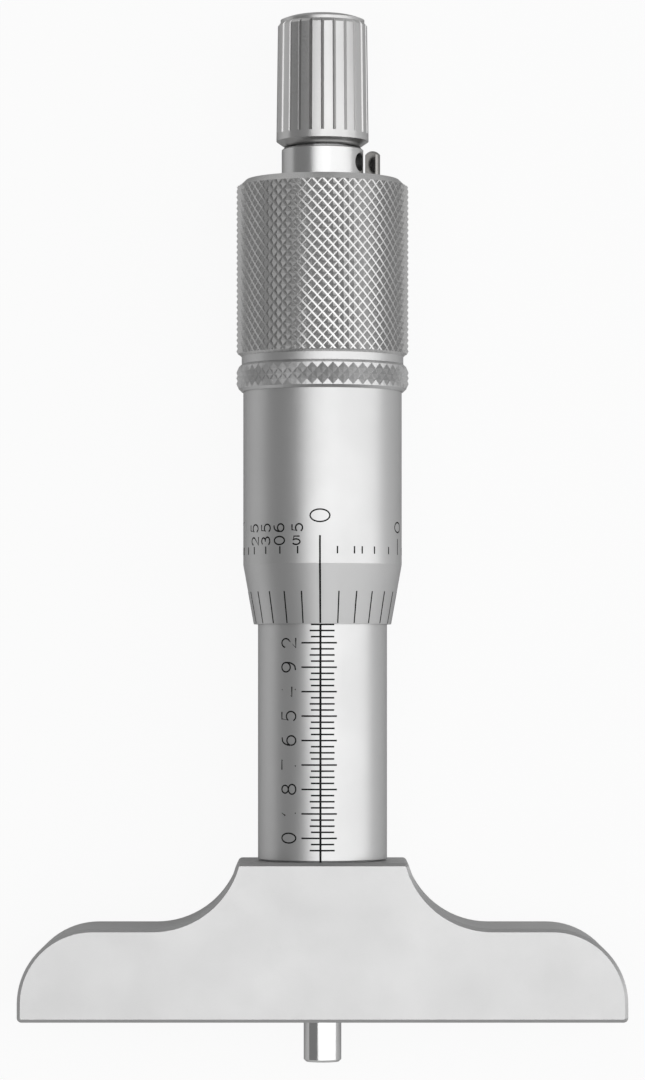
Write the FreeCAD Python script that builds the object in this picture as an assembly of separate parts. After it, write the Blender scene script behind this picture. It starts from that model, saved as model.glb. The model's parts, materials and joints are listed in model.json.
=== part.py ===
"""Depth micrometer with a T-shaped base, lying on its back.

The origin is on the measuring axis, in the plane of the base's measuring face.
+Y runs along the axis from the measuring face to the ratchet, +X runs along the
base and +Z points out of the face that carries the scale.
"""
import FreeCAD, Part
import math
import os

from FreeCAD import Vector

# Screw and scale
SCREW_PITCH = 0.635         # forty threads to the inch
TRAVEL = 25.4               # depth range of one rod
READING = 3.175             # depth that the scale shows as built

# Fits
RUNNING = 0.03              # radial clearance of a piece that turns or slides in another
SNUG = 0.01                 # radial clearance of a piece that is screwed or pressed home
PLAY = 0.05                 # end play between faces that pass each other

# Base: a hardened T-shaped block
BASE_WIDTH = 63.5
BASE_HEIGHT = 16.6
BASE_THICKNESS = 14.3
BASE_END_HEIGHT = 1.9       # upright stretch of each end, under the round
BASE_END_RADIUS = 7.85
BASE_NECK_RADIUS = 9.0      # hollow round from the shoulder up to the crown
BASE_CROWN_WIDTH = 17.82    # flat that the sleeve stands on
BASE_EDGE = 0.35            # chamfer along both outlines
BASE_CORNER = 0.5           # rounds at the ends of the measuring face and of the crown
BASE_FLOOR = 6.0            # metal left under the barrel's socket

# Guide bush of the rod, pressed into the base from above
BUSH_RADIUS = 3.2
BUSH_RECESS = 0.4           # how far its mouth lies behind the measuring face
BUSH_CHAMFER = 0.3

# Barrel: the inner body, with the nut thread at its top
BARREL_STEM_RADIUS = 5.0
BARREL_RADIUS = 5.9
BARREL_LENGTH = 32.6        # above the base
BARREL_RELIEF_RADIUS = 3.9
BARREL_NUT_LENGTH = 13.2    # threaded stretch that carries the spindle
BARREL_NECK_RADIUS = 5.3    # outer thread under the adjusting nut
BARREL_SLOT_WIDTH = 0.5
BARREL_SLOT_LENGTH = 9.0
BARREL_SLOTS = 3

# Adjusting nut that closes the split end of the barrel on the spindle
ADJUSTER_RADIUS = 6.4
ADJUSTER_LENGTH = 3.0
ADJUSTER_SLOTS = 4
ADJUSTER_SLOT_WIDTH = 1.0
ADJUSTER_SLOT_DEPTH = 0.8

# Sleeve: the outer tube with the scale, turned on the barrel to set zero
SLEEVE_RADIUS = 6.8
SLEEVE_GAP = 0.2            # between the sleeve and the adjusting nut
SLEEVE_EDGE = 0.2
SLEEVE_HOLE_RADIUS = 0.75   # spanner hole at the back
SLEEVE_HOLE_HEIGHT = 4.0    # above the base

# Measuring rod and its two nuts
ROD_RADIUS = 1.984          # 5/32 inch rod
ROD_OUT = 4.6               # how far the rod stands out of the base as built
ROD_EDGE = 0.25
ROD_THREAD_RADIUS = 1.8
ROD_THREAD_END = 1.1        # thread left free above the lock nut
ROD_NUT_RADIUS = 3.4
ROD_NUT_LENGTH = 2.6
ROD_LOCK_NUT_RADIUS = 3.1
ROD_LOCK_NUT_LENGTH = 1.9
ROD_NUT_EDGE = 0.25
ROD_NUT_FLAT = 2.9          # half the width across the spanner flats

# Spindle: the hollow screw
SPINDLE_RADIUS = 3.5
SPINDLE_BORE_RADIUS = 2.15
SPINDLE_TAIL = 42.0         # threaded length below the thimble's seat
SEAT_CLEARANCE = 0.6        # between the seat and the barrel at full depth
SEAT_LOW_RADIUS = 4.6       # taper that carries the thimble
SEAT_TOP_RADIUS = 4.2
SEAT_LENGTH = 4.5
SPINDLE_END_RADIUS = 3.9    # thread of the thimble nut
SPINDLE_END_LENGTH = 3.5

# Diamond knurl of the cap and of the thimble's ring
KNURL_RADIUS = 9.08         # over the points of the diamonds
KNURL_DEPTH = 0.26
KNURL_DIAMONDS = 51         # in one row around
KNURL_PITCH = 1.16          # height of one diamond
KNURL_BED = 0.4             # thickness of the layer under the grooves

# Thimble
THIMBLE_EDGE_RADIUS = 7.23
THIMBLE_RADIUS = 8.35
THIMBLE_BEVEL_LENGTH = 6.26
THIMBLE_BORE_RADIUS = 6.95
THIMBLE_EDGE_HEIGHT = 24.84 # lower edge above the base as built
RING_DROP = 6.125           # ring's lower end below the thimble's seat on the spindle
RING_LENGTH = 2.9
RING_EDGE = 0.29
GROOVE_RADIUS = 8.52
GROOVE_LENGTH = 0.8
NECK_RADIUS = 7.5           # thread that carries the cap

# Thimble nut
THIMBLE_NUT_RADIUS = 6.0
THIMBLE_NUT_LENGTH = 2.8
THIMBLE_NUT_SLOT_WIDTH = 1.2
THIMBLE_NUT_SLOT_DEPTH = 0.9

# Cap
CAP_LOW_EDGE = 0.29
CAP_TOP_EDGE = 0.75
CAP_TOP_EDGE_LENGTH = 0.7
CAP_CHAMBER_RADIUS = 6.6
CAP_ROOF = 2.3
CAP_THREAD_RADIUS = 2.6

# Dished washer that presses on the rod's nuts
DISH_RADIUS = 3.0
DISH_HEIGHT = 1.325
DISH_THICKNESS = 0.35

# Stop pin on the cap
PIN_RADIUS = 0.79
PIN_OFFSET = 5.28
PIN_HEIGHT = 3.1
PIN_DEPTH = 1.4
PIN_DOME = 0.42
PIN_FLAT = 0.52             # from the pin's axis to the flat ground on its front
PIN_FLAT_TURN = 26.6        # degrees that the flat faces towards the collar

# Ratchet body: the collar above the cap, with the fixed teeth
COLLAR_RADIUS = 4.3
COLLAR_HEIGHT = 3.3
COLLAR_EDGE = 0.15
COLLAR_HOLE_RADIUS = 0.965  # spanner hole
COLLAR_HOLE_DEPTH = 1.9
COLLAR_HOLE_HEIGHT = 1.75
COLLAR_HOLE_ANGLE = 66.0    # from the scale's side towards +X
RATCHET_TEETH = 12
TEETH_OUTER_RADIUS = 3.3
TEETH_INNER_RADIUS = 2.0
TEETH_HEIGHT = 0.45
TEETH_STAND = 0.3           # plain ring under the teeth
TEETH_SHY = 0.02            # how far the teeth stand back from the ring's edges
TEETH_GAP = 0.4             # degrees that each plate tooth is short of its pitch

# Ratchet plate, keyed to the knob and pressed down by the spring
PLATE_THICKNESS = 1.2
PLATE_LUGS = 4
PLATE_LUG_WIDTH = 1.2
PLATE_LUG_REACH = 0.25
PLATE_BORE_RADIUS = 1.5

# Ratchet screw and washer
SHANK_RADIUS = 1.1
SCREW_THREAD_RADIUS = 0.8
SCREW_THREAD_LENGTH = 4.0
SCREW_HEAD_RADIUS = 2.3
SCREW_HEAD_LENGTH = 0.8
SCREW_SLOT_WIDTH = 0.5
SCREW_SLOT_DEPTH = 0.4
WASHER_THICKNESS = 0.2

# Spring, coiled from square wire
SPRING_RADIUS = 2.1
SPRING_WIRE = 0.44
SPRING_TURNS = 4

# Knob
KNOB_GAP = 0.2
KNOB_MOUTH_RADIUS = 4.0
KNOB_LOW_RADIUS = 4.86
KNOB_TOP_RADIUS = 4.7
KNOB_LOW_CHAMFER = 0.6
KNOB_BAND = 0.75            # plain band under the flutes
KNOB_FLUTE_LENGTH = 11.35
KNOB_EDGE = 0.35
KNOB_CROWN_RADIUS = 4.42
KNOB_CROWN = 0.85           # height of the domed end
KNOB_CROWN_EDGE = 0.3       # upright edge under the dome
DOME_BULGE = 0.35           # share of the dome's rise that is left at its middle
KNOB_CAVITY_RADIUS = 3.6
KNOB_ROOF = 1.3             # metal between the cavity and the screw's seat
KNOB_FLUTES = 24
FLUTE_WIDTH = 0.36
FLUTE_DEPTH = 0.3

# Radii and levels along the axis that follow from the sizes above
KNURL_ROOT = KNURL_RADIUS - KNURL_DEPTH
KNURL_BODY = KNURL_ROOT * math.cos(math.pi / (2 * KNURL_DIAMONDS)) - SNUG
BARREL_TOP = BASE_HEIGHT + BARREL_LENGTH
ADJUSTER_LOW = BARREL_TOP - ADJUSTER_LENGTH
SLEEVE_TOP = ADJUSTER_LOW - SLEEVE_GAP
THIMBLE_LOW = BASE_HEIGHT + THIMBLE_EDGE_HEIGHT
SEAT_LOW = BARREL_TOP + TRAVEL - READING + SEAT_CLEARANCE
SEAT_TOP = SEAT_LOW + SEAT_LENGTH
RING_LOW = SEAT_LOW - RING_DROP
RING_TOP = RING_LOW + RING_LENGTH
CAP_LOW = RING_TOP + GROOVE_LENGTH
SPINDLE_LOW = SEAT_LOW - SPINDLE_TAIL
SPINDLE_TOP = SEAT_TOP + SPINDLE_END_LENGTH
ROD_NUT_TOP = SPINDLE_TOP + ROD_NUT_LENGTH
ROD_LOCK_TOP = ROD_NUT_TOP + ROD_LOCK_NUT_LENGTH
ROD_TOP = ROD_LOCK_TOP + ROD_THREAD_END
CAP_ROOF_LOW = ROD_LOCK_TOP + PLAY + DISH_HEIGHT
CAP_TOP = CAP_ROOF_LOW + CAP_ROOF
COLLAR_TOP = CAP_TOP + COLLAR_HEIGHT
TEETH_ROOT = COLLAR_TOP + TEETH_STAND
TEETH_TIP = TEETH_ROOT + TEETH_HEIGHT
PLATE_TOP = TEETH_TIP + PLAY + PLATE_THICKNESS
PLATE_LIFT = TEETH_HEIGHT + PLAY
KNOB_LOW = COLLAR_TOP + KNOB_GAP
KNOB_CHAMFER_TOP = KNOB_LOW + KNOB_LOW_CHAMFER
FLUTES_LOW = KNOB_CHAMFER_TOP + KNOB_BAND
FLUTES_TOP = FLUTES_LOW + KNOB_FLUTE_LENGTH
KNOB_SHOULDER = FLUTES_TOP + KNOB_EDGE
KNOB_TOP = KNOB_SHOULDER + KNOB_CROWN
SCREW_SEAT = KNOB_TOP - SCREW_HEAD_LENGTH - WASHER_THICKNESS - 2 * PLAY
CAVITY_TOP = SCREW_SEAT - KNOB_ROOF

AXIS = Vector(0, 1, 0)


def turned(*outline):
    """A solid of revolution about the Y axis.

    Each corner is (radius, y). A corner of four numbers ends an arc: the last two
    are a point on that arc.
    """
    corners = [Vector(corner[0], corner[1], 0) for corner in outline]
    edges = []
    for i, corner in enumerate(outline):
        start, end = corners[i - 1], corners[i]
        if len(corner) == 4:
            edges.append(Part.Arc(start, Vector(corner[2], corner[3], 0), end).toShape())
        elif start.distanceToPoint(end) > 1e-6:
            edges.append(Part.LineSegment(start, end).toShape())
    face = Part.Face(Part.Wire(edges))
    solid = face.revolve(Vector(0, 0, 0), AXIS, 360)
    return solid if solid.Volume > 0 else solid.reversed()


def rod_along(radius, low, top, x=0.0, z=0.0):
    """A plain cylinder parallel to the measuring axis."""
    return Part.makeCylinder(radius, top - low, Vector(x, low, z), AXIS)


def around(shape, count, start=0.0):
    """Copies of a shape, evenly spaced round the measuring axis."""
    copies = []
    for i in range(count):
        copy = shape.copy()
        copy.rotate(Vector(0, 0, 0), AXIS, start + 360.0 * i / count)
        copies.append(copy)
    return Part.makeCompound(copies)


def slot(width, low, top, inner, outer):
    """A radial block on the +Z side, for slots, keyways and lugs."""
    return Part.makeBox(width, top - low, outer - inner, Vector(-width / 2, low, inner))


def save(name, shape):
    """Write one piece, after making sure that it is a single valid solid."""
    solids = shape.Solids
    if len(solids) != 1 or not solids[0].isValid():
        raise ValueError("%s is not one valid solid" % name)
    solids[0].exportStep("parts/%s.step" % name)


def base():
    """The T-shaped block: round ends, hollow shoulders, and the socket of the barrel."""
    half = BASE_WIDTH / 2
    shoulder = BASE_END_HEIGHT + BASE_END_RADIUS
    crown = BASE_CROWN_WIDTH / 2
    # The hollow round is tangent to the shoulder and meets the crown at its edge
    rise = BASE_HEIGHT - shoulder
    reach = math.sqrt(BASE_NECK_RADIUS ** 2 - (BASE_NECK_RADIUS - rise) ** 2)
    neck_x = crown + reach
    end_x = half - BASE_END_RADIUS
    end_turn = math.radians(45)
    neck_turn = math.asin(reach / BASE_NECK_RADIUS) / 2
    edges = []
    for side in (1, -1):
        corner = Vector(side * half, BASE_END_HEIGHT, 0)
        end_mid = Vector(side * (end_x + BASE_END_RADIUS * math.cos(end_turn)),
                         BASE_END_HEIGHT + BASE_END_RADIUS * math.sin(end_turn), 0)
        end_top = Vector(side * end_x, shoulder, 0)
        neck_low = Vector(side * neck_x, shoulder, 0)
        neck_mid = Vector(side * (neck_x - BASE_NECK_RADIUS * math.sin(neck_turn)),
                          shoulder + BASE_NECK_RADIUS * (1 - math.cos(neck_turn)), 0)
        neck_top = Vector(side * crown, BASE_HEIGHT, 0)
        edges += [
            Part.LineSegment(Vector(0, 0, 0), Vector(side * half, 0, 0)).toShape(),
            Part.LineSegment(Vector(side * half, 0, 0), corner).toShape(),
            Part.Arc(corner, end_mid, end_top).toShape(),
            Part.LineSegment(end_top, neck_low).toShape(),
            Part.Arc(neck_low, neck_mid, neck_top).toShape(),
            Part.LineSegment(neck_top, Vector(0, BASE_HEIGHT, 0)).toShape(),
        ]
    outline = Part.Wire(Part.__sortEdges__(edges))
    block = Part.Face(outline).extrude(Vector(0, 0, BASE_THICKNESS)).removeSplitter()
    block.translate(Vector(0, 0, -BASE_THICKNESS / 2))
    corners = [e for e in block.Edges
               if abs(e.CenterOfMass.z) < 1e-6
               and min(abs(e.CenterOfMass.y), abs(e.CenterOfMass.y - BASE_HEIGHT)) < 1e-6]
    block = block.makeFillet(BASE_CORNER, corners)
    rims = [e for e in block.Edges
            if abs(abs(e.CenterOfMass.z) - BASE_THICKNESS / 2) < 1e-6]
    block = block.makeChamfer(BASE_EDGE, rims)
    block = block.cut(rod_along(BARREL_STEM_RADIUS + SNUG, BASE_FLOOR, BASE_HEIGHT + 1))
    return block.cut(rod_along(BUSH_RADIUS + SNUG, -1, BASE_FLOOR + 1))


def rod_bush():
    """Ring that guides the rod through the base."""
    bore = ROD_RADIUS + RUNNING
    return turned(
        (bore + BUSH_CHAMFER, BUSH_RECESS),
        (BUSH_RADIUS - BUSH_CHAMFER, BUSH_RECESS),
        (BUSH_RADIUS, BUSH_RECESS + BUSH_CHAMFER),
        (BUSH_RADIUS, BASE_FLOOR),
        (bore + BUSH_CHAMFER, BASE_FLOOR),
        (bore, BASE_FLOOR - BUSH_CHAMFER),
        (bore, BUSH_RECESS + BUSH_CHAMFER))


def barrel():
    """Inner body: a stem in the base, a plain seat for the sleeve, and a split nut end."""
    nut_low = BARREL_TOP - BARREL_NUT_LENGTH
    nut_bore = SPINDLE_RADIUS + RUNNING
    body = turned(
        (BARREL_RELIEF_RADIUS, BASE_FLOOR),
        (BARREL_STEM_RADIUS, BASE_FLOOR),
        (BARREL_STEM_RADIUS, BASE_HEIGHT),
        (BARREL_RADIUS, BASE_HEIGHT),
        (BARREL_RADIUS, SLEEVE_TOP),
        (BARREL_NECK_RADIUS, SLEEVE_TOP),
        (BARREL_NECK_RADIUS, BARREL_TOP),
        (nut_bore, BARREL_TOP),
        (nut_bore, nut_low),
        (BARREL_RELIEF_RADIUS, nut_low))
    cut = slot(BARREL_SLOT_WIDTH, BARREL_TOP - BARREL_SLOT_LENGTH, BARREL_TOP + 1,
               0, BARREL_RADIUS + 1)
    return body.cut(around(cut, BARREL_SLOTS, 60))


def adjusting_nut():
    """Slotted ring nut on the barrel's split end."""
    ring = turned(
        (BARREL_NECK_RADIUS + SNUG, ADJUSTER_LOW),
        (ADJUSTER_RADIUS, ADJUSTER_LOW),
        (ADJUSTER_RADIUS, BARREL_TOP),
        (BARREL_NECK_RADIUS + SNUG, BARREL_TOP))
    notch = slot(ADJUSTER_SLOT_WIDTH, ADJUSTER_LOW - 1, BARREL_TOP + 1,
                 ADJUSTER_RADIUS - ADJUSTER_SLOT_DEPTH, ADJUSTER_RADIUS + 1)
    return ring.cut(around(notch, ADJUSTER_SLOTS))


def sleeve():
    """Graduated tube that stands on the base."""
    tube = turned(
        (BARREL_RADIUS + SNUG, BASE_HEIGHT),
        (SLEEVE_RADIUS - SLEEVE_EDGE, BASE_HEIGHT),
        (SLEEVE_RADIUS, BASE_HEIGHT + SLEEVE_EDGE),
        (SLEEVE_RADIUS, SLEEVE_TOP - SLEEVE_EDGE),
        (SLEEVE_RADIUS - SLEEVE_EDGE, SLEEVE_TOP),
        (BARREL_RADIUS + SNUG, SLEEVE_TOP))
    hole_y = BASE_HEIGHT + SLEEVE_HOLE_HEIGHT
    hole = Part.makeCylinder(SLEEVE_HOLE_RADIUS, SLEEVE_RADIUS + 1,
                             Vector(0, hole_y, 0), Vector(0, 0, -1))
    return tube.cut(hole)


def measuring_rod():
    """Round rod with a flat, edge-broken measuring end and a threaded head."""
    return turned(
        (0, -ROD_OUT),
        (ROD_RADIUS - ROD_EDGE, -ROD_OUT),
        (ROD_RADIUS, -ROD_OUT + ROD_EDGE),
        (ROD_RADIUS, SPINDLE_TOP),
        (ROD_THREAD_RADIUS, SPINDLE_TOP),
        (ROD_THREAD_RADIUS, ROD_TOP - ROD_EDGE),
        (ROD_THREAD_RADIUS - ROD_EDGE, ROD_TOP),
        (0, ROD_TOP))


def rod_nut(radius, low, top):
    """Round nut with a pair of spanner flats."""
    bore = ROD_THREAD_RADIUS + SNUG
    body = turned(
        (bore, low),
        (radius - ROD_NUT_EDGE, low),
        (radius, low + ROD_NUT_EDGE),
        (radius, top - ROD_NUT_EDGE),
        (radius - ROD_NUT_EDGE, top),
        (bore, top))
    flat = slot(2 * radius + 1, low - 1, top + 1, ROD_NUT_FLAT, radius + 1)
    return body.cut(around(flat, 2))


def rod_adjusting_nut():
    """Nut that sets the rod's length; it seats on the spindle's end face."""
    return rod_nut(ROD_NUT_RADIUS, SPINDLE_TOP, ROD_NUT_TOP)


def rod_lock_nut():
    """Nut that locks the adjusting nut on the rod."""
    return rod_nut(ROD_LOCK_NUT_RADIUS, ROD_NUT_TOP, ROD_LOCK_TOP)


def spindle():
    """Hollow screw with a tapered seat and a short thread for the thimble nut."""
    return turned(
        (SPINDLE_BORE_RADIUS, SPINDLE_LOW),
        (SPINDLE_RADIUS - ROD_EDGE, SPINDLE_LOW),
        (SPINDLE_RADIUS, SPINDLE_LOW + ROD_EDGE),
        (SPINDLE_RADIUS, SEAT_LOW),
        (SEAT_LOW_RADIUS, SEAT_LOW),
        (SEAT_TOP_RADIUS, SEAT_TOP),
        (SPINDLE_END_RADIUS, SEAT_TOP),
        (SPINDLE_END_RADIUS, SPINDLE_TOP),
        (SPINDLE_BORE_RADIUS, SPINDLE_TOP))


def knurl(low, top):
    """A hollow band of diamond points, made of flat facets.

    Points and groove crossings take turns on a grid of half pitches. The first and
    last level lie in the grooves, so the outermost points fade into the end chamfers.
    """
    levels = 2 * round((top - low) / KNURL_PITCH)
    columns = 2 * KNURL_DIAMONDS
    grid = []
    for level in range(levels + 1):
        y = low + (top - low) * level / levels
        row = []
        for column in range(columns):
            is_point = (level + column) % 2 and 0 < level < levels
            radius = KNURL_RADIUS if is_point else KNURL_ROOT
            angle = math.pi * column / KNURL_DIAMONDS
            row.append(Vector(radius * math.sin(angle), y, radius * math.cos(angle)))
        grid.append(row)
    triangles = []
    for level in range(levels):
        for column in range(columns):
            beside = (column + 1) % columns
            a, b = grid[level][column], grid[level][beside]
            c, d = grid[level + 1][beside], grid[level + 1][column]
            # The cell is folded along its groove, from crossing to crossing
            if (level + column) % 2 == 0:
                triangles += [(a, b, c), (a, c, d)]
            else:
                triangles += [(b, c, d), (b, d, a)]
    faces = [Part.Face(Part.makePolygon([a, b, c, a])) for a, b, c in triangles]
    faces += [Part.Face(Part.makePolygon(row + row[:1])) for row in (grid[0], grid[-1])]
    shell = Part.makeShell(faces)
    shell.sewShape()
    return Part.Solid(shell).cut(rod_along(KNURL_ROOT - KNURL_BED, low - 1, top + 1))


def thimble():
    """Bevelled thimble with its knurled ring, a groove and the neck inside the cap."""
    bevel_top = THIMBLE_LOW + THIMBLE_BEVEL_LENGTH
    body = turned(
        (THIMBLE_BORE_RADIUS, THIMBLE_LOW),
        (THIMBLE_EDGE_RADIUS, THIMBLE_LOW),
        (THIMBLE_RADIUS, bevel_top),
        (THIMBLE_RADIUS, RING_LOW),
        (KNURL_BODY - RING_EDGE, RING_LOW),
        (KNURL_BODY, RING_LOW + RING_EDGE),
        (KNURL_BODY, RING_TOP - RING_EDGE),
        (KNURL_BODY - RING_EDGE, RING_TOP),
        (GROOVE_RADIUS, RING_TOP),
        (GROOVE_RADIUS, CAP_LOW),
        (NECK_RADIUS, CAP_LOW),
        (NECK_RADIUS, SEAT_TOP),
        (SEAT_TOP_RADIUS + SNUG, SEAT_TOP),
        (SEAT_LOW_RADIUS + SNUG, SEAT_LOW),
        (THIMBLE_BORE_RADIUS, SEAT_LOW))
    return body.fuse(knurl(RING_LOW + RING_EDGE, RING_TOP - RING_EDGE))


def thimble_nut():
    """Ring nut that holds the thimble down on the spindle's taper."""
    low, top = SEAT_TOP, SEAT_TOP + THIMBLE_NUT_LENGTH
    ring = turned(
        (SPINDLE_END_RADIUS + SNUG, low),
        (THIMBLE_NUT_RADIUS, low),
        (THIMBLE_NUT_RADIUS, top),
        (SPINDLE_END_RADIUS + SNUG, top))
    notch = slot(THIMBLE_NUT_SLOT_WIDTH, top - THIMBLE_NUT_SLOT_DEPTH, top + 1,
                 0, THIMBLE_NUT_RADIUS + 1)
    return ring.cut(around(notch, 2))


def cap():
    """Knurled cap: screwed on the thimble's neck, with a chamber for the rod's nuts."""
    chamber_low = SEAT_TOP
    body = turned(
        (NECK_RADIUS + SNUG, CAP_LOW),
        (KNURL_BODY - CAP_LOW_EDGE, CAP_LOW),
        (KNURL_BODY, CAP_LOW + CAP_LOW_EDGE),
        (KNURL_BODY, CAP_TOP - CAP_TOP_EDGE_LENGTH),
        (KNURL_BODY - CAP_TOP_EDGE, CAP_TOP),
        (CAP_THREAD_RADIUS, CAP_TOP),
        (CAP_THREAD_RADIUS, CAP_ROOF_LOW),
        (CAP_CHAMBER_RADIUS, CAP_ROOF_LOW),
        (CAP_CHAMBER_RADIUS, chamber_low),
        (NECK_RADIUS + SNUG, chamber_low))
    body = body.cut(rod_along(PIN_RADIUS + SNUG, CAP_TOP - PIN_DEPTH, CAP_TOP + 1, PIN_OFFSET))
    return body.fuse(knurl(CAP_LOW + CAP_LOW_EDGE, CAP_TOP - CAP_TOP_EDGE_LENGTH))


def spring_washer():
    """Dished washer between the cap's roof and the rod's lock nut."""
    low, top = ROD_LOCK_TOP + PLAY, CAP_ROOF_LOW
    bore = ROD_THREAD_RADIUS + 2 * PLAY
    return turned(
        (bore, top - DISH_THICKNESS),
        (DISH_RADIUS, low),
        (DISH_RADIUS, low + DISH_THICKNESS),
        (bore + DISH_THICKNESS, top),
        (bore, top))


def stop_pin():
    """Pin with a domed end and a flat on its front, pressed into the cap by the collar."""
    foot = CAP_TOP - PIN_DEPTH
    tip = CAP_TOP + PIN_HEIGHT
    # Sphere of the dome, and the point halfway up its arc
    sphere = (PIN_RADIUS ** 2 + PIN_DOME ** 2) / (2 * PIN_DOME)
    half_turn = math.asin(PIN_RADIUS / sphere) / 2
    pin = turned(
        (0, foot),
        (PIN_RADIUS, foot),
        (PIN_RADIUS, tip - PIN_DOME),
        (0, tip, sphere * math.sin(half_turn), tip - sphere * (1 - math.cos(half_turn))))
    waste = Part.makeBox(2 * PIN_RADIUS, tip - CAP_TOP, PIN_RADIUS,
                         Vector(-PIN_RADIUS, CAP_TOP, PIN_FLAT))
    waste.rotate(Vector(0, 0, 0), AXIS, -PIN_FLAT_TURN)
    pin = pin.cut(waste)
    pin.translate(Vector(PIN_OFFSET, 0, 0))
    return pin


def saw_teeth(base_y, crest_y, inner, outer, gap):
    """Saw teeth on a ring round the axis, as one compound of wedges.

    Teeth that rise from base_y have their crest at the end of each pitch. Teeth that
    hang from it have their crest at the start, so that the two rings mesh. The gap is
    the angle in degrees that every tooth is short of its pitch.
    """
    pitch = 360.0 / RATCHET_TEETH
    start = math.radians(gap)
    end = math.radians(pitch - gap)
    crest = end if crest_y > base_y else start
    sections = []
    for radius in (inner, outer):
        corners = [(start, base_y), (end, base_y), (crest, crest_y)]
        points = [Vector(radius * math.sin(a), y, radius * math.cos(a)) for a, y in corners]
        sections.append(Part.makePolygon(points + points[:1]))
    return around(Part.makeLoft(sections, True, True), RATCHET_TEETH)


def ratchet_body():
    """Collar with a threaded stem below, fixed ratchet teeth above and a spanner hole."""
    stem = CAP_THREAD_RADIUS - SNUG
    body = turned(
        (SCREW_THREAD_RADIUS + SNUG, CAP_ROOF_LOW + DISH_THICKNESS),
        (stem, CAP_ROOF_LOW + DISH_THICKNESS),
        (stem, CAP_TOP),
        (COLLAR_RADIUS - COLLAR_EDGE, CAP_TOP),
        (COLLAR_RADIUS, CAP_TOP + COLLAR_EDGE),
        (COLLAR_RADIUS, COLLAR_TOP - COLLAR_EDGE),
        (COLLAR_RADIUS - COLLAR_EDGE, COLLAR_TOP),
        (TEETH_OUTER_RADIUS, COLLAR_TOP),
        (TEETH_OUTER_RADIUS, TEETH_ROOT),
        (TEETH_INNER_RADIUS, TEETH_ROOT),
        (TEETH_INNER_RADIUS, COLLAR_TOP),
        (SCREW_THREAD_RADIUS + SNUG, COLLAR_TOP))
    turn = math.radians(COLLAR_HOLE_ANGLE)
    outward = Vector(math.sin(turn), 0, math.cos(turn))
    floor = outward * (COLLAR_RADIUS - COLLAR_HOLE_DEPTH)
    floor.y = CAP_TOP + COLLAR_HOLE_HEIGHT
    hole = Part.makeCylinder(COLLAR_HOLE_RADIUS, COLLAR_HOLE_DEPTH + 1, floor, outward)
    teeth = saw_teeth(TEETH_ROOT, TEETH_TIP, TEETH_INNER_RADIUS + TEETH_SHY,
                      TEETH_OUTER_RADIUS - TEETH_SHY, 0)
    return body.cut(hole).fuse(teeth.Solids)


def ratchet_plate():
    """Sliding plate: teeth below, a seat for the spring above, and lugs for the knob."""
    low = TEETH_TIP + PLAY
    radius = KNOB_CAVITY_RADIUS - RUNNING
    disc = turned(
        (PLATE_BORE_RADIUS, low),
        (radius, low),
        (radius, PLATE_TOP),
        (PLATE_BORE_RADIUS, PLATE_TOP))
    lug = slot(PLATE_LUG_WIDTH, low, PLATE_TOP, PLATE_BORE_RADIUS + 1, radius + PLATE_LUG_REACH)
    teeth = saw_teeth(low, TEETH_ROOT + PLAY, TEETH_INNER_RADIUS + TEETH_SHY,
                      TEETH_OUTER_RADIUS - TEETH_SHY, TEETH_GAP)
    return disc.fuse(around(lug, PLATE_LUGS).Solids + teeth.Solids).removeSplitter()


def ratchet_spring():
    """Compression spring between the plate and the knob's roof."""
    half = SPRING_WIRE / 2
    length = CAVITY_TOP - PLATE_TOP - SPRING_WIRE
    helix = Part.makeHelix(length / SPRING_TURNS, length, SPRING_RADIUS)
    # Drawn upright round the Z axis, then laid along the measuring axis
    corners = [Vector(SPRING_RADIUS + x, 0, z)
               for x, z in ((-half, -half), (half, -half), (half, half), (-half, half))]
    section = Part.Wire(Part.makePolygon(corners + corners[:1]))
    coil = Part.Wire(helix.Edges).makePipeShell([section], True, True)
    coil.rotate(Vector(0, 0, 0), Vector(1, 0, 0), -90)
    coil.translate(Vector(0, PLATE_TOP + half, 0))
    return coil


def ratchet_screw():
    """Shoulder screw that holds the knob on the ratchet body and lets it turn."""
    head_low = SCREW_SEAT + PLAY + WASHER_THICKNESS
    head_top = head_low + SCREW_HEAD_LENGTH
    thread_low = COLLAR_TOP - SCREW_THREAD_LENGTH
    screw = turned(
        (0, thread_low),
        (SCREW_THREAD_RADIUS, thread_low),
        (SCREW_THREAD_RADIUS, COLLAR_TOP),
        (SHANK_RADIUS, COLLAR_TOP),
        (SHANK_RADIUS, head_low),
        (SCREW_HEAD_RADIUS, head_low),
        (SCREW_HEAD_RADIUS, head_top),
        (0, head_top))
    reach = SCREW_HEAD_RADIUS + 1
    blade = slot(SCREW_SLOT_WIDTH, head_top - SCREW_SLOT_DEPTH, head_top + 1, -reach, reach)
    return screw.cut(blade)


def ratchet_washer():
    """Flat washer under the screw's head."""
    low = SCREW_SEAT + PLAY
    top = low + WASHER_THICKNESS
    return turned(
        (SHANK_RADIUS + SNUG, low),
        (SCREW_HEAD_RADIUS, low),
        (SCREW_HEAD_RADIUS, top),
        (SHANK_RADIUS + SNUG, top))


def flute(low, low_radius, top, top_radius):
    """Wedge that cuts one narrow groove along the tapered knob, on the +Z side.

    It stands as far outside the knob as the groove is deep, so it is twice as wide there.
    """
    sections = []
    for y, radius in ((low, low_radius), (top, top_radius)):
        points = [Vector(-FLUTE_WIDTH, y, radius + FLUTE_DEPTH),
                  Vector(FLUTE_WIDTH, y, radius + FLUTE_DEPTH),
                  Vector(0, y, radius - FLUTE_DEPTH)]
        sections.append(Part.makePolygon(points + points[:1]))
    return Part.makeLoft(sections, True, True)


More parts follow.
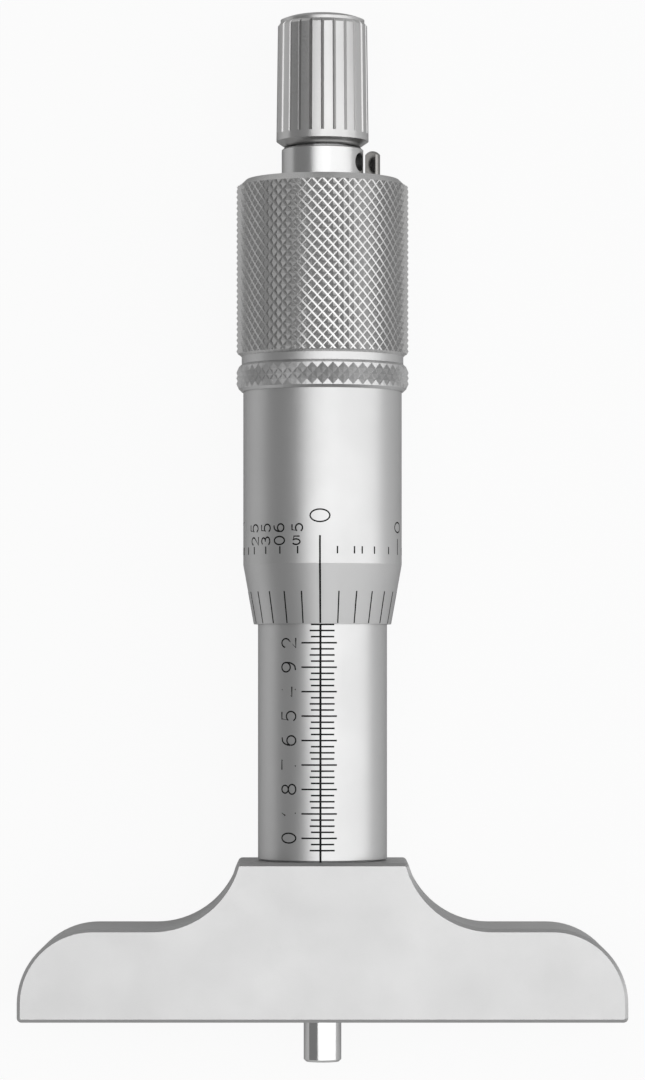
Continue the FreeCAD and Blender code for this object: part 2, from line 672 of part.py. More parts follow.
def knob():
    """Ratchet knob: fluted, slightly tapered, hollow, with a dome round the screw."""
    head_bore = SCREW_HEAD_RADIUS + 2 * PLAY
    # The dome is an arc from the crown's edge to the screw's recess
    dome_mid = (KNOB_CROWN_RADIUS + head_bore) / 2
    dome_rise = KNOB_CROWN - KNOB_CROWN_EDGE
    body = turned(
        (KNOB_CAVITY_RADIUS, KNOB_LOW),
        (KNOB_MOUTH_RADIUS, KNOB_LOW),
        (KNOB_LOW_RADIUS, KNOB_CHAMFER_TOP),
        (KNOB_TOP_RADIUS, FLUTES_TOP),
        (KNOB_CROWN_RADIUS, KNOB_SHOULDER),
        (KNOB_CROWN_RADIUS, KNOB_SHOULDER + KNOB_CROWN_EDGE),
        (head_bore, KNOB_TOP, dome_mid, KNOB_TOP - dome_rise * DOME_BULGE),
        (head_bore, SCREW_SEAT),
        (SHANK_RADIUS + RUNNING, SCREW_SEAT),
        (SHANK_RADIUS + RUNNING, CAVITY_TOP),
        (KNOB_CAVITY_RADIUS, CAVITY_TOP))
    keyway = slot(PLATE_LUG_WIDTH + 2 * PLAY, KNOB_LOW - 1, PLATE_TOP + PLATE_LIFT + PLAY,
                  PLATE_BORE_RADIUS, KNOB_CAVITY_RADIUS + PLATE_LUG_REACH + PLAY)
    groove = flute(FLUTES_LOW, KNOB_LOW_RADIUS, KNOB_SHOULDER, KNOB_TOP_RADIUS)
    cuts = around(keyway, PLATE_LUGS).Solids + around(groove, KNOB_FLUTES).Solids
    return body.cut(Part.makeCompound(cuts))


PIECES = {
    "base": base,
    "rod_bush": rod_bush,
    "barrel": barrel,
    "adjusting_nut": adjusting_nut,
    "sleeve": sleeve,
    "measuring_rod": measuring_rod,
    "rod_adjusting_nut": rod_adjusting_nut,
    "rod_lock_nut": rod_lock_nut,
    "spindle": spindle,
    "thimble": thimble,
    "thimble_nut": thimble_nut,
    "cap": cap,
    "spring_washer": spring_washer,
    "stop_pin": stop_pin,
    "ratchet_body": ratchet_body,
    "ratchet_plate": ratchet_plate,
    "ratchet_spring": ratchet_spring,
    "ratchet_screw": ratchet_screw,
    "ratchet_washer": ratchet_washer,
    "knob": knob,
}

os.makedirs("parts", exist_ok=True)
for name, make in PIECES.items():
    save(name, make())
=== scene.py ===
import json
import math

import bmesh
import bpy
from mathutils import Matrix, Vector


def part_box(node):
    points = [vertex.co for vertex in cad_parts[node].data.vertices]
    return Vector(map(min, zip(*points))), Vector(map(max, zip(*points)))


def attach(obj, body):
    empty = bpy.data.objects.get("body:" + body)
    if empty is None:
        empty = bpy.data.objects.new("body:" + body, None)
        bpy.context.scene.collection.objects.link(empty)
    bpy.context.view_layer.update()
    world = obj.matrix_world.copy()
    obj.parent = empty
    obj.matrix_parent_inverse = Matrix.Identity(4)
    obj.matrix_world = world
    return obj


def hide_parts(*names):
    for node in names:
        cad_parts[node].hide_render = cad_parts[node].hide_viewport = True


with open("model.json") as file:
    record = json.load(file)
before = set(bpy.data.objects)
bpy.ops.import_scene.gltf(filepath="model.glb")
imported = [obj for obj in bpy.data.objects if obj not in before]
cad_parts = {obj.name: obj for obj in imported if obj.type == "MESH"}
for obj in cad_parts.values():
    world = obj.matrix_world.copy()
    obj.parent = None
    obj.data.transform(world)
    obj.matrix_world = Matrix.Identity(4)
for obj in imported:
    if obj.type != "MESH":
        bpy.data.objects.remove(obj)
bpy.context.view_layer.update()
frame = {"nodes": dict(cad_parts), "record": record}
nodes = frame["nodes"]

# Lengths are in metres; sizes written here in millimetres are multiplied by MM
MM = 0.001
INCH = 25.4 * MM


def low(node):
    """Lowest corner of a solid."""
    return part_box(node)[0]


def high(node):
    """Highest corner of a solid."""
    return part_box(node)[1]


# Surfaces that carry the scale and the knurl
BASE_TOP = high("base").y
SLEEVE_RADIUS = high("sleeve").x
THIMBLE_EDGE = low("thimble").y
KNURL_RADIUS = high("cap").x
CAP_LOW = low("cap").y
CAP_TOP = high("cap").y
FLOOR = low("cap").z

# Thimble: plain surface above the bevel
THIMBLE_RADIUS = 8.35 * MM
BEVEL_EDGE_RADIUS = 7.23 * MM    # at the lower edge
BEVEL_TOP = THIMBLE_EDGE + 6.26 * MM


# ---------------------------------------------------------------- shader maths

class Value:
    """A shader socket that can be used in plain arithmetic."""

    def __init__(self, tree, socket):
        self.tree = tree
        self.socket = socket

    def math(self, operation, other):
        """A Math node on this value and another value or number."""
        return self.tree.node("ShaderNodeMath", {"operation": operation}, {0: self, 1: other})[0]

    def __add__(self, other):
        return self.math("ADD", other)

    def __radd__(self, other):
        return self.math("ADD", other)

    def __sub__(self, other):
        return self.math("SUBTRACT", other)

    def __rsub__(self, other):
        return self.tree.node("ShaderNodeMath", {"operation": "SUBTRACT"}, {0: other, 1: self})[0]

    def __mul__(self, other):
        return self.math("MULTIPLY", other)

    def __rmul__(self, other):
        return self.math("MULTIPLY", other)


class Tree:
    """A material's or the world's node tree, filled by one method."""

    def __init__(self, owner):
        owner.use_nodes = True
        self.nodes = owner.node_tree.nodes
        self.links = owner.node_tree.links
        self.nodes.clear()

    def node(self, kind, settings=None, inputs=None):
        """Add a node: its settings first, then its sockets. Returns its outputs as values."""
        node = self.nodes.new(kind)
        for name, value in (settings or {}).items():
            if name == "stops":
                ramp = node.color_ramp
                while len(ramp.elements) < len(value):
                    ramp.elements.new(0.5)
                for element, (place, shade) in zip(ramp.elements, value):
                    element.position = place
                    element.color = (shade, shade, shade, 1)
            else:
                setattr(node, name, value)
        for name, value in (inputs or {}).items():
            if isinstance(value, Value):
                self.links.new(value.socket, node.inputs[name])
            else:
                node.inputs[name].default_value = value
        return [Value(self, socket) for socket in node.outputs]

    def place(self, scale):
        """Object coordinates, stretched along the three axes."""
        coordinates = self.node("ShaderNodeTexCoord")[3]
        return self.node("ShaderNodeMapping", None, {"Vector": coordinates, "Scale": scale})[0]

    def noise(self, scale, detail, roughness, stretch=(1, 1, 1)):
        """Noise from 0 to 1; stretch squeezes it along an axis to draw lines across it."""
        return self.node("ShaderNodeTexNoise", None, {
            "Vector": self.place(stretch), "Scale": scale,
            "Detail": detail, "Roughness": roughness})[0]

    def ramp(self, value, *stops):
        """Map a value through greys at the given places."""
        return self.node("ShaderNodeValToRGB", {"stops": stops}, {"Fac": value})[0]

    def mix_colour(self, share, first, second):
        """Blend of two colours."""
        outputs = self.node("ShaderNodeMix", {"data_type": "RGBA"}, {0: share, 6: first, 7: second})
        return outputs[2]

    def bump(self, height, distance):
        """Normal of a surface with fine relief."""
        return self.node("ShaderNodeBump", None, {
            "Height": height, "Distance": distance, "Strength": 1.0})[0]

    def surface(self, **sockets):
        """The finished Principled surface."""
        inputs = {name.replace("_", " "): value for name, value in sockets.items()}
        shader = self.node("ShaderNodeBsdfPrincipled", None, inputs)[0]
        self.node("ShaderNodeOutputMaterial", None, {"Surface": shader})


def new_tree(name):
    """A new material and its empty node tree."""
    material = bpy.data.materials.new(name)
    return material, Tree(material)


def grey(value, warm=0.0):
    """A neutral colour, a little warmer or cooler."""
    return (value * (1 + warm), value, value * (1 - warm), 1)


# ------------------------------------------------------------------- materials

# Patterns on bare metal: the scales of their noise, and how strongly they show
GRAIN_SCALE = 9000
CLOUD_SCALE = 140
SPECK_SCALE = 2600
SPECK_STOPS = ((0.68, 0.0), (0.76, 1.0))    # only the peaks of the noise make specks
GRAIN_SHADE = 1.4            # how much more the tool lines darken than the clouds do
SHADE_STRENGTH = 3.0
DARK_SHARE = 0.72            # darkest tone against the plain one
GRAIN_ROUGHNESS = 0.16       # spread of the roughness over lines, clouds and specks
CLOUD_ROUGHNESS = 0.10
SPECK_ROUGHNESS = 0.05
SPECK_RELIEF = 0.3           # relief of the specks against that of the lines
EDGE_TINT = 0.5              # how bright the metal stays at a grazing angle


def machined(name, tone, rough, lines, line_depth, cloud, warm=0.0):
    """Bare or plated steel: fine tool lines along one direction, clouds and small marks.

    The lines are noise squeezed along an axis by the factors in lines.
    """
    material, tree = new_tree(name)
    grain = tree.noise(GRAIN_SCALE, 3, 0.7, lines)
    clouds = tree.noise(CLOUD_SCALE, 5, 0.6)
    specks = tree.ramp(tree.noise(SPECK_SCALE, 2, 0.5), *SPECK_STOPS)
    shade = clouds * cloud + grain * (cloud * GRAIN_SHADE)
    light, dark = grey(tone, warm), grey(tone * DARK_SHARE, warm)
    roughness = rough + (grain - 0.5) * GRAIN_ROUGHNESS + (clouds - 0.5) * CLOUD_ROUGHNESS
    tree.surface(
        Base_Color=tree.mix_colour(shade * SHADE_STRENGTH, light, dark),
        Metallic=1.0,
        Roughness=roughness + specks * SPECK_ROUGHNESS,
        Specular_Tint=grey(EDGE_TINT),
        Normal=tree.bump(grain + specks * SPECK_RELIEF, line_depth))
    return material


# Factors that squeeze the noise along the three axes, to draw lines
AROUND = (1, 12, 1)          # lines that run round the measuring axis
ALONG = (12, 0.6, 12)        # lines that run along it
ALONG_BASE = (0.25, 9, 9)    # grinding lines along the base's length
NO_DIRECTION = (1, 1, 1)


WEAR_SCALE = 3000
WEAR_RELIEF = 0.004 * MM


def engraving():
    """Black paint of the scales."""
    material, tree = new_tree("scale_black")
    wear = tree.noise(WEAR_SCALE, 3, 0.6)
    tree.surface(
        Base_Color=tree.mix_colour(wear, grey(0.004), grey(0.010)),
        Specular_IOR_Level=0.15,
        Roughness=0.5 + wear * 0.2,
        Normal=tree.bump(wear, WEAR_RELIEF))
    return material


MATERIALS = {
    "ground_steel": machined("ground_steel", 0.60, 0.42, ALONG_BASE, 0.0010 * MM, 0.05),
    "satin_chrome": machined("satin_chrome", 0.64, 0.40, AROUND, 0.0012 * MM, 0.05),
    "knurled_steel": machined("knurled_steel", 0.62, 0.27, NO_DIRECTION, 0.0015 * MM, 0.06, 0.004),
    "knob_steel": machined("knob_steel", 0.62, 0.30, ALONG, 0.0012 * MM, 0.05, 0.004),
    "turned_steel": machined("turned_steel", 0.62, 0.24, AROUND, 0.0010 * MM, 0.04),
    "polished_steel": machined("polished_steel", 0.62, 0.14, AROUND, 0.0006 * MM, 0.03),
    "pin_steel": machined("pin_steel", 0.30, 0.22, ALONG, 0.0010 * MM, 0.06, 0.03),
    "plain_steel": machined("plain_steel", 0.50, 0.35, AROUND, 0.0015 * MM, 0.06),
    "spring_steel": machined("spring_steel", 0.30, 0.35, NO_DIRECTION, 0.0010 * MM, 0.06),
    "scale_black": engraving(),
}


def finish(piece, slot_name):
    """Give a piece the one material of a slot."""
    piece.data.materials.clear()
    piece.data.materials.append(MATERIALS[slot_name])


def add_piece(name, mesh_builder, body, slot_name, smooth=False):
    """Turn a finished bmesh into a piece that rides on a body."""
    mesh = bpy.data.meshes.new(name)
    mesh_builder.to_mesh(mesh)
    mesh_builder.free()
    for polygon in mesh.polygons:
        polygon.use_smooth = smooth
    piece = bpy.data.objects.new(name, mesh)
    bpy.context.scene.collection.objects.link(piece)
    finish(piece, slot_name)
    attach(piece, body)
    return piece


# ------------------------------------------------------------- marks and numbers

MARK_HEIGHT = 0.010 * MM     # how far the marks stand over the metal
MARK_ROOT = 0.04 * MM        # how far they reach below
COLUMN_ANGLE = 3             # degrees of a mark's length to one flat column
ROW_LENGTH = 1.2 * MM        # length along the axis to one flat row


def sleeve_radius(y):
    """The sleeve is a plain cylinder."""
    return SLEEVE_RADIUS


def thimble_radius(y):
    """Bevel near the edge, plain cylinder above it."""
    share = min((y - THIMBLE_EDGE) / (BEVEL_TOP - THIMBLE_EDGE), 1.0)
    return BEVEL_EDGE_RADIUS + share * (THIMBLE_RADIUS - BEVEL_EDGE_RADIUS)


def bend(vert, angle, y, height, radius_at):
    """Put a vertex on a turned surface, by its angle in degrees and its height over it."""
    radius = radius_at(y) + height
    turn = math.radians(angle)
    vert.co = Vector((radius * math.sin(turn), y, radius * math.cos(turn)))


def outward(vert):
    """Direction from the measuring axis to a vertex."""
    return Vector((vert.co.x, 0, vert.co.z)).normalized()


def only(kind, geometry):
    """The vertices or the edges among what an operator gives back."""
    return [item for item in geometry if isinstance(item, kind)]


def everything(shape):
    """All vertices, edges and faces of a bmesh."""
    return shape.verts[:] + shape.edges[:] + shape.faces[:]


def wrap(marks, radius_at):
    """Bend flat marks, drawn as (angle in degrees, y), onto a turned surface and thicken them."""
    for vert in marks.verts:
        bend(vert, vert.co.x, vert.co.y, -MARK_ROOT, radius_at)
    bmesh.ops.recalc_face_normals(marks, faces=marks.faces)
    grown = bmesh.ops.extrude_face_region(marks, geom=list(marks.faces))
    for vert in only(bmesh.types.BMVert, grown["geom"]):
        vert.co += outward(vert) * (MARK_ROOT + MARK_HEIGHT)
    bmesh.ops.recalc_face_normals(marks, faces=marks.faces)


def add_mark(marks, left, right, low_y, high_y, radius_at):
    """One straight mark: its angles in degrees and its ends along the axis."""
    columns = max(1, round((right - left) / COLUMN_ANGLE))
    rows = 1 if radius_at is sleeve_radius else max(1, round((high_y - low_y) / ROW_LENGTH))
    made = bmesh.ops.create_grid(marks, x_segments=columns, y_segments=rows, size=0.5)
    size = Matrix.Diagonal(Vector((right - left, high_y - low_y, 1, 1)))
    place = Matrix.Translation(Vector(((left + right) / 2, (low_y + high_y) / 2, 0)))
    bmesh.ops.transform(marks, matrix=place @ size, verts=made["verts"])


def line_mark(marks, angle, width, low_y, high_y, radius_at):
    """A mark along the axis, of a width in metres."""
    half = math.degrees(width / radius_at(low_y)) / 2
    add_mark(marks, angle - half, angle + half, low_y, high_y, radius_at)


ARC_STEP = 18                # degrees between the points of an arc


def arc(x, y, wide, tall, start, end):
    """Points on part of an ellipse, by its centre, half sizes and angles in degrees."""
    steps = max(2, round(abs(end - start) / ARC_STEP))
    turns = [math.radians(start + (end - start) * i / steps) for i in range(steps + 1)]
    return [(x + wide * math.cos(t), y + tall * math.sin(t)) for t in turns]


# Strokes of the numbers in a box of 1 by 1
STROKES = {
    "0": [arc(0.5, 0.5, 0.5, 0.5, 0, 360)],
    "1": [[(0.15, 0.74), (0.6, 1.0), (0.6, 0.0)]],
    "2": [arc(0.48, 0.70, 0.45, 0.30, 170, -35) + [(0.0, 0.0), (1.0, 0.0)]],
    "3": [arc(0.45, 0.76, 0.42, 0.24, 150, -90) + arc(0.45, 0.27, 0.50, 0.27, 90, -155)],
    "4": [[(1.0, 0.27), (0.0, 0.27), (0.72, 1.0), (0.72, 0.0)]],
    "5": [[(0.92, 1.0), (0.20, 1.0), (0.10, 0.52)] + arc(0.47, 0.33, 0.50, 0.33, 140, -150)],
    "6": [[(0.80, 0.98)] + arc(0.62, 0.42, 0.60, 0.56, 110, 180)
          + arc(0.5, 0.31, 0.48, 0.31, 175, -185)],
    "7": [[(0.0, 1.0), (1.0, 1.0), (0.38, 0.0)]],
    "8": [arc(0.5, 0.76, 0.40, 0.24, -90, 270), arc(0.5, 0.26, 0.50, 0.26, 90, 450)],
    "9": [[(0.20, 0.02)] + arc(0.38, 0.58, 0.60, 0.56, -70, 0)
          + arc(0.5, 0.69, 0.48, 0.31, 5, 365)],
}
STROKE_RADIUS = 0.078 * MM
STROKE_FLATNESS = 0.15       # thickness of a stroke against its width
QUARTER_TURN = Matrix.Rotation(math.radians(90), 3, "Z")


def add_number(marks, text, angle, y, tall, wide, turned, radius_at):
    """A number centred at an angle and a place on the axis, drawn in strokes.

    tall and wide are its size as it reads; turned ones read up the axis, tops to the left.
    """
    curve = bpy.data.curves.new("number", "CURVE")
    curve.dimensions = "3D"
    curve.bevel_depth = STROKE_RADIUS
    curve.bevel_resolution = 1
    curve.use_fill_caps = True
    for stroke in STROKES[text]:
        spline = curve.splines.new("POLY")
        spline.points.add(len(stroke) - 1)
        for point, (across, up) in zip(spline.points, stroke):
            point.co = ((across - 0.5) * wide, (up - 0.5) * tall, 0, 1)
    drawing = bpy.data.objects.new("number", curve)
    bpy.context.scene.collection.objects.link(drawing)
    shape = bpy.data.meshes.new_from_object(drawing)
    bpy.data.objects.remove(drawing)
    drawn = bmesh.new()
    drawn.from_mesh(shape)
    if turned:
        bmesh.ops.rotate(drawn, matrix=QUARTER_TURN, verts=drawn.verts)
    bmesh.ops.scale(drawn, vec=(1, 1, STROKE_FLATNESS), verts=drawn.verts)
    for vert in drawn.verts:
        aside = math.degrees(vert.co.x / radius_at(y))
        bend(vert, angle + aside, vert.co.y + y, vert.co.z, radius_at)
    drawn.to_mesh(shape)
    drawn.free()
    marks.from_mesh(shape)


def join(marks, numbers):
    """Add the drawn numbers to the marks."""
    shape = bpy.data.meshes.new("numbers")
    numbers.to_mesh(shape)
    numbers.free()
    marks.from_mesh(shape)


READING_LINE = -1.8          # degrees from the middle of the front
READING_LINE_WIDTH = 0.22 * MM
READING_LINE_HIDDEN = 3.5 * MM   # how far the line runs on under the thimble
LINE_GAP = 0.1 * MM          # half of the gap that the cross marks leave for the line
SCALE_STEP = 0.025 * INCH
SCALE_MARKS = 43             # an inch has 41 of them, and two more follow
READING = 0.125 * INCH
MARK_SHOWS = 0.085 * MM      # how far the mark of the reading stands clear of the thimble
MARK_WIDTH = 0.17 * MM
TENTH_MARK = (-18.8, 12.7)   # ends of the cross marks, in degrees
HALF_MARK = (-11.3, 10.7)
SHORT_MARK = (-10.2, 10.3)
SLEEVE_NUMBERS = "1294567810"    # from the upper end down, one at every tenth of an inch
NUMBER_ANGLE = -31.3
NUMBER_TALL = 1.70 * MM
NUMBER_WIDE = 1.02 * MM
ONE_WIDE = 0.6 * MM
BASE_CLEARANCE = 0.02 * MM


def sleeve_scale():
    """Forty steps to the inch, with a long mark and a number at every fourth."""
    marks = bmesh.new()
    numbers = bmesh.new()
    line_mark(marks, READING_LINE, READING_LINE_WIDTH, BASE_TOP + BASE_CLEARANCE,
              THIMBLE_EDGE + READING_LINE_HIDDEN, sleeve_radius)
    zero = THIMBLE_EDGE - MARK_SHOWS + READING
    half = MARK_WIDTH / 2
    gap = math.degrees(LINE_GAP / SLEEVE_RADIUS)
    for step in range(SCALE_MARKS):
        y = zero - step * SCALE_STEP
        if step % 4 == 0:
            left, right = TENTH_MARK
        elif step % 2 == 0:
            left, right = HALF_MARK
        else:
            left, right = SHORT_MARK
        if y < high("sleeve").y - MARK_WIDTH:
            add_mark(marks, left, READING_LINE - gap, y - half, y + half, sleeve_radius)
            add_mark(marks, READING_LINE + gap, right, y - half, y + half, sleeve_radius)
    for tenth, text in enumerate(SLEEVE_NUMBERS, 1):
        y = zero - tenth * 4 * SCALE_STEP
        wide = ONE_WIDE if text == "1" else NUMBER_WIDE
        add_number(numbers, text, NUMBER_ANGLE, y, NUMBER_TALL, wide, True, sleeve_radius)
    wrap(marks, sleeve_radius)
    join(marks, numbers)
    return add_piece("sleeve_scale", marks, "base", "scale_black")


DIVISIONS = 25
THIMBLE_STEP = 360 / DIVISIONS
EDGE_CLEARANCE = 0.06 * MM
BEVEL_MARK_TOP = THIMBLE_EDGE + 3.39 * MM
UPPER_LOW = THIMBLE_EDGE + 7.25 * MM
UPPER_HIGH = THIMBLE_EDGE + 8.02 * MM
LONG_MARK_TOP = THIMBLE_EDGE + 8.9 * MM
ZERO_LINE_TOP = THIMBLE_EDGE + 9.13 * MM
BEVEL_MARK_WIDTH = 0.13 * MM
UPPER_MARK_WIDTH = 0.15 * MM
ZERO_LINE_WIDTH = 0.19 * MM
LONG_MARK_ANGLE = 70
# Angles of the short upper marks on the front; those behind keep the even step
UPPER_ANGLES = (-79, -68, -58.5, -45, -32, -18, 10.7, 23.4, 29.6, 40.3, 55.6)
BACK_DIVISIONS = range(6, 20)
LOWER_ROW = THIMBLE_EDGE + 8.62 * MM
UPPER_ROW = THIMBLE_EDGE + 9.95 * MM
# The thimble's numbers: text, angle, place on the axis, height and width in millimetres,
# and whether it is turned on its side
THIMBLE_NUMBERS = (
    ("0", READING_LINE, THIMBLE_EDGE + 11.19 * MM, 2.06, 1.30, True),
    ("0", LONG_MARK_ANGLE, THIMBLE_EDGE + 10.1 * MM, 1.05, 1.55, False),
    ("5", -18.3, UPPER_ROW, 1.15, 0.80, True),
    ("5", -19.0, LOWER_ROW, 0.86, 0.86, False),
    ("6", -33.0, UPPER_ROW, 1.25, 0.82, True),
    ("0", -32.5, LOWER_ROW, 1.25, 0.84, True),
    ("5", -45.0, UPPER_ROW, 1.30, 0.82, True),
    ("3", -45.2, LOWER_ROW, 1.20, 0.84, True),
    ("5", -58.5, UPPER_ROW, 1.45, 0.82, True),
    ("2", -57.5, LOWER_ROW, 1.30, 0.84, True),
    ("1", -84.0, THIMBLE_EDGE + 10.6 * MM, 1.3, 0.5, True),
)


def thimble_scale():
    """Marks on the bevel, the zero line, the upper marks and the numbers."""
    marks = bmesh.new()
    numbers = bmesh.new()
    edge = THIMBLE_EDGE + EDGE_CLEARANCE
    for division in range(1, DIVISIONS):
        angle = READING_LINE + division * THIMBLE_STEP
        line_mark(marks, angle, BEVEL_MARK_WIDTH, edge, BEVEL_MARK_TOP, thimble_radius)
    # The zero line is in two parts, because it bends at the top of the bevel
    for low_y, high_y in ((edge, BEVEL_TOP), (BEVEL_TOP, ZERO_LINE_TOP)):
        line_mark(marks, READING_LINE, ZERO_LINE_WIDTH, low_y, high_y, thimble_radius)
    for angle in UPPER_ANGLES:
        line_mark(marks, angle, UPPER_MARK_WIDTH, UPPER_LOW, UPPER_HIGH, thimble_radius)
    for division in BACK_DIVISIONS:
        top = LONG_MARK_TOP if division % 5 == 0 else UPPER_HIGH
        angle = READING_LINE + division * THIMBLE_STEP
        line_mark(marks, angle, UPPER_MARK_WIDTH, UPPER_LOW, top, thimble_radius)
    line_mark(marks, LONG_MARK_ANGLE, BEVEL_MARK_WIDTH, UPPER_LOW, LONG_MARK_TOP, thimble_radius)
    for text, angle, y, tall, wide, turned in THIMBLE_NUMBERS:
        add_number(numbers, text, angle, y, tall * MM, wide * MM, turned, thimble_radius)
    wrap(marks, thimble_radius)
    join(marks, numbers)
    return add_piece("thimble_scale", marks, "thimble", "scale_black")


# ----------------------------------------------------------------- knurled cap

KNURL_DEPTH = 0.26 * MM
KNURL_ROOT = KNURL_RADIUS - KNURL_DEPTH
DIAMONDS = 51                # in one row around
DIAMOND_HEIGHT = 1.16 * MM
DIAMOND_WIDTH = 2 * math.pi * KNURL_ROOT / DIAMONDS
FALLING_GROOVE = 0.11        # half widths of the flat grooves, as shares of their spacing
RISING_GROOVE = 0.06
SEAM = 0.002 * MM            # vertices nearer than this are one
SHARP_EDGE = math.radians(8)


def diamond():
    """One diamond with the flat grooves round it, drawn flat at the root of the knurl."""
    cell = bmesh.new()
    bmesh.ops.create_grid(cell, x_segments=1, y_segments=1, size=0.5)
    for side in (-1, 1):
        for line, normal in (((side * (0.5 - RISING_GROOVE), 0, 0), (1, 0, 0)),
                             ((0, side * (0.5 - FALLING_GROOVE), 0), (0, 1, 0))):
            bmesh.ops.bisect_plane(cell, geom=everything(cell), plane_co=line,
                                   plane_no=normal, dist=1e-6)
    top = min(cell.faces, key=lambda face: face.calc_center_median().length)
    point = bmesh.ops.poke(cell, faces=[top])["verts"][0]
    point.co.z = KNURL_DEPTH
    wide, tall = DIAMOND_WIDTH / 2, DIAMOND_HEIGHT / 2
    lattice = Matrix(((wide, wide, 0, 0), (-tall, tall, 0, 0), (0, 0, 1, 0), (0, 0, 0, 1)))
    bmesh.ops.transform(cell, matrix=lattice, verts=cell.verts)
    return cell


def knurl_root(y):
    """The bottoms of the grooves lie on a plain cylinder."""
    return KNURL_ROOT


def knurl(low_y, top_y):
    """Net of diamonds round the axis, open at both ends."""
    net = diamond()
    first = everything(net)
    rows = math.ceil((top_y - low_y) / DIAMOND_HEIGHT) + 1
    for half_row in range(1, 2 * rows):
        copy = bmesh.ops.duplicate(net, geom=first)["geom"]
        aside = DIAMOND_WIDTH / 2 if half_row % 2 else 0
        bmesh.ops.translate(net, vec=(aside, half_row * DIAMOND_HEIGHT / 2, 0),
                            verts=only(bmesh.types.BMVert, copy))
    bmesh.ops.translate(net, vec=(0, low_y - DIAMOND_HEIGHT / 4, 0), verts=net.verts)
    for y, side in ((low_y, -1), (top_y, 1)):
        bmesh.ops.bisect_plane(net, geom=everything(net), plane_co=(0, y, 0),
                               plane_no=(0, side, 0), dist=1e-8, clear_outer=True)
    for vert in net.verts:
        bend(vert, math.degrees(vert.co.x / KNURL_ROOT), vert.co.y, vert.co.z, knurl_root)
    bmesh.ops.spin(net, geom=everything(net), cent=(0, 0, 0), axis=(0, 1, 0),
                   dvec=(0, 0, 0), steps=DIAMONDS - 1, use_merge=False,
                   angle=2 * math.pi * (DIAMONDS - 1) / DIAMONDS, use_duplicate=True)
    bmesh.ops.remove_doubles(net, verts=net.verts, dist=SEAM)
    return net


def run_on(net, loop, outline):
    """Carry an open end along an outline of (radius, y) corners; gives its last edges."""
    for radius, y in outline:
        grown = bmesh.ops.extrude_edge_only(net, edges=loop)["geom"]
        for vert in only(bmesh.types.BMVert, grown):
            vert.co = outward(vert) * radius + Vector((0, y, 0))
        loop = only(bmesh.types.BMEdge, grown)
    return loop


CAP_BORE = 6.6 * MM
CAP_HOLE = 2.6 * MM
CAP_EDGE = 0.29 * MM         # small chamfer at the lower end
CAP_CHAMFER = 0.75 * MM      # broad chamfer at the upper end: its depth and its height
CAP_CHAMFER_HEIGHT = 0.7 * MM
CAP_ROOF = 2.3 * MM


def knurled_cap():
    """Cap: the knurled band with a broad chamfer above it, hollow below its roof."""
    band_low = CAP_LOW + CAP_EDGE
    band_top = CAP_TOP - CAP_CHAMFER_HEIGHT
    roof_low = CAP_TOP - CAP_ROOF
    below = ((KNURL_ROOT, band_low), (KNURL_ROOT - CAP_EDGE, CAP_LOW), (CAP_BORE, CAP_LOW))
    above = ((KNURL_ROOT, band_top), (KNURL_ROOT - CAP_CHAMFER, CAP_TOP),
             (CAP_HOLE, CAP_TOP), (CAP_HOLE, roof_low), (CAP_BORE, roof_low))
    cap = knurl(band_low, band_top)
    middle = (band_low + band_top) / 2
    ends = [edge for edge in cap.edges if edge.is_boundary]
    low_end = [edge for edge in ends if edge.verts[0].co.y < middle]
    top_end = [edge for edge in ends if edge.verts[0].co.y > middle]
    last_low = run_on(cap, low_end, below)
    last_top = run_on(cap, top_end, above)
    bmesh.ops.bridge_loops(cap, edges=last_low + last_top)
    bmesh.ops.recalc_face_normals(cap, faces=cap.faces)
    for edge in cap.edges:
        edge.smooth = len(edge.link_faces) == 2 and edge.calc_face_angle() < SHARP_EDGE
    piece = add_piece("knurled_cap", cap, "thimble", "knurled_steel", smooth=True)
    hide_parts("cap")
    return piece


# ------------------------------------------------------------------------ stage

FLOOR_SIZE = 3.0
FLOOR_MIDDLE = 0.04          # along the axis
FLOOR_TONE = 0.85
FILL_LIGHT = 0.27            # even light from all round
FLOOR_WHITE_SEEN = 0.92      # share of plain white where the floor is seen directly
FLOOR_WHITE_MIRRORED = 0.2   # and where metal or glass shows it
LAMP_LENGTH = 3.2
STUDIO_MIDDLE = Vector((0, 0.05, 0))


def area_lamp(name, width, place, power):
    """A long soft lamp beside or over the tool, turned towards it."""
    lamp = bpy.data.lights.new(name, "AREA")
    lamp.shape = "RECTANGLE"
    lamp.size = width
    lamp.size_y = LAMP_LENGTH
    lamp.energy = power
    holder = bpy.data.objects.new(name, lamp)
    bpy.context.scene.collection.objects.link(holder)
    spot = STUDIO_MIDDLE + Vector(place)
    holder.location = spot
    holder.rotation_euler = (STUDIO_MIDDLE - spot).to_track_quat("-Z", "Y").to_euler()


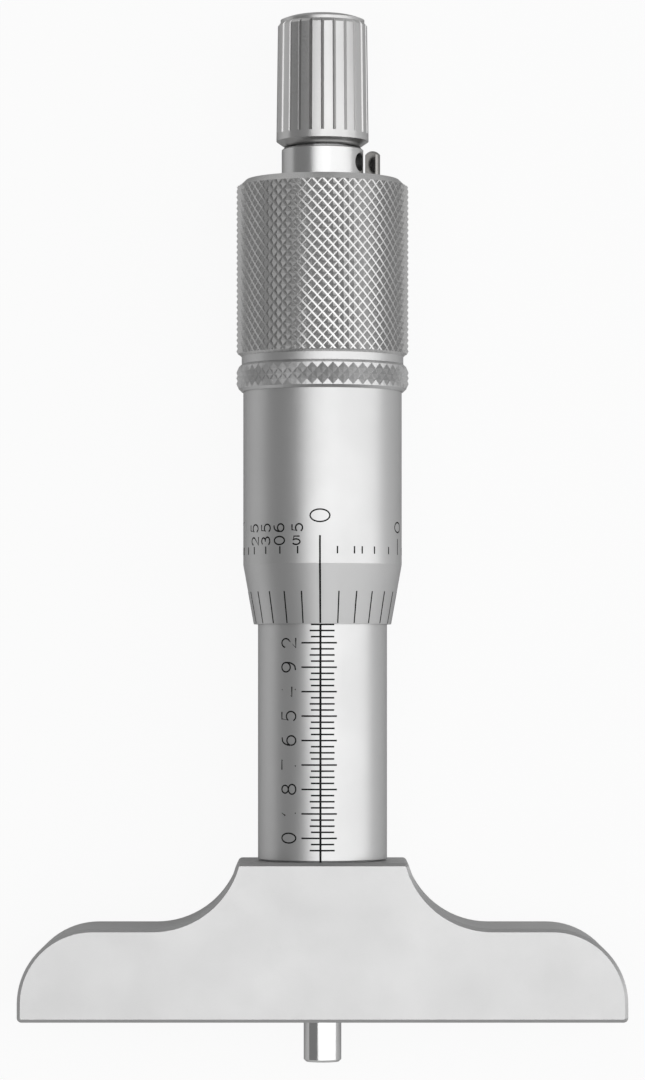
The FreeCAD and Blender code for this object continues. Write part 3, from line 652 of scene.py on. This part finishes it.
def studio():
    """Pale floor, soft lamps above and to the right, and a white background."""
    floor_mesh = bpy.data.meshes.new("floor")
    sheet = bmesh.new()
    bmesh.ops.create_grid(sheet, x_segments=1, y_segments=1, size=FLOOR_SIZE)
    bmesh.ops.translate(sheet, vec=(0, FLOOR_MIDDLE, FLOOR), verts=sheet.verts)
    sheet.to_mesh(floor_mesh)
    sheet.free()
    floor = bpy.data.objects.new("floor", floor_mesh)
    bpy.context.scene.collection.objects.link(floor)
    material, tree = new_tree("pale_floor")
    matte = tree.node("ShaderNodeBsdfDiffuse", None, {"Color": grey(FLOOR_TONE)})[0]
    white = tree.node("ShaderNodeEmission", None, {"Color": grey(1.0), "Strength": 1.0})[0]
    rays = tree.node("ShaderNodeLightPath")
    # Seen directly the floor is nearly white; in metal it keeps most of its own shading
    camera_ray, glossy_ray, transmission_ray = rays[0], rays[3], rays[6]
    seen = camera_ray * FLOOR_WHITE_SEEN
    for ray in (glossy_ray, transmission_ray):
        seen = seen.math("MAXIMUM", ray * FLOOR_WHITE_MIRRORED)
    blend = tree.node("ShaderNodeMixShader", None, {0: seen, 1: matte, 2: white})[0]
    tree.node("ShaderNodeOutputMaterial", None, {"Surface": blend})
    floor.data.materials.append(material)

    world = bpy.data.worlds.new("studio")
    bpy.context.scene.world = world
    sky = Tree(world)
    fill = sky.node("ShaderNodeBackground", None, {"Color": grey(FILL_LIGHT), "Strength": 1.0})[0]
    backdrop = sky.node("ShaderNodeBackground", None, {"Color": grey(1.0), "Strength": 1.0})[0]
    camera_ray = sky.node("ShaderNodeLightPath")[0]
    mixed = sky.node("ShaderNodeMixShader", None, {0: camera_ray, 1: fill, 2: backdrop})[0]
    sky.node("ShaderNodeOutputWorld", None, {"Surface": mixed})

    area_lamp("key", 0.46, (0.44, 0, 0.66), 7.2)
    area_lamp("top", 0.60, (0, 0, 0.8), 1.6)


CAMERA_DISTANCE = 0.453      # above the measuring axis
CAMERA_PLACE = 36.1 * MM     # along the axis
VIEW_HEIGHT = 113.83 * MM    # what the frame takes in at the axis
SENSOR = 24.0                # height of the sensor in millimetres
CAMERA_SHIFT = 0.125         # moves the view up the axis, as a share of its height
CLIP_RANGE = (0.01, 20)


def add_camera():
    """Camera straight above the tool, with the ratchet towards the top of the frame."""
    data = bpy.data.cameras.new("camera")
    data.sensor_fit = "VERTICAL"
    data.sensor_height = SENSOR
    data.lens = SENSOR * CAMERA_DISTANCE / VIEW_HEIGHT
    data.shift_y = CAMERA_SHIFT
    data.clip_start, data.clip_end = CLIP_RANGE
    camera = bpy.data.objects.new("camera", data)
    bpy.context.scene.collection.objects.link(camera)
    camera.location = (0, CAMERA_PLACE, CAMERA_DISTANCE)
    bpy.context.scene.camera = camera


for entry in frame["record"]["subparts"]:
    finish(nodes[entry["node"]], entry["material_slot"])

sleeve_scale()
thimble_scale()
knurled_cap()
studio()
add_camera()

bpy.context.scene.view_settings.view_transform = "Standard"
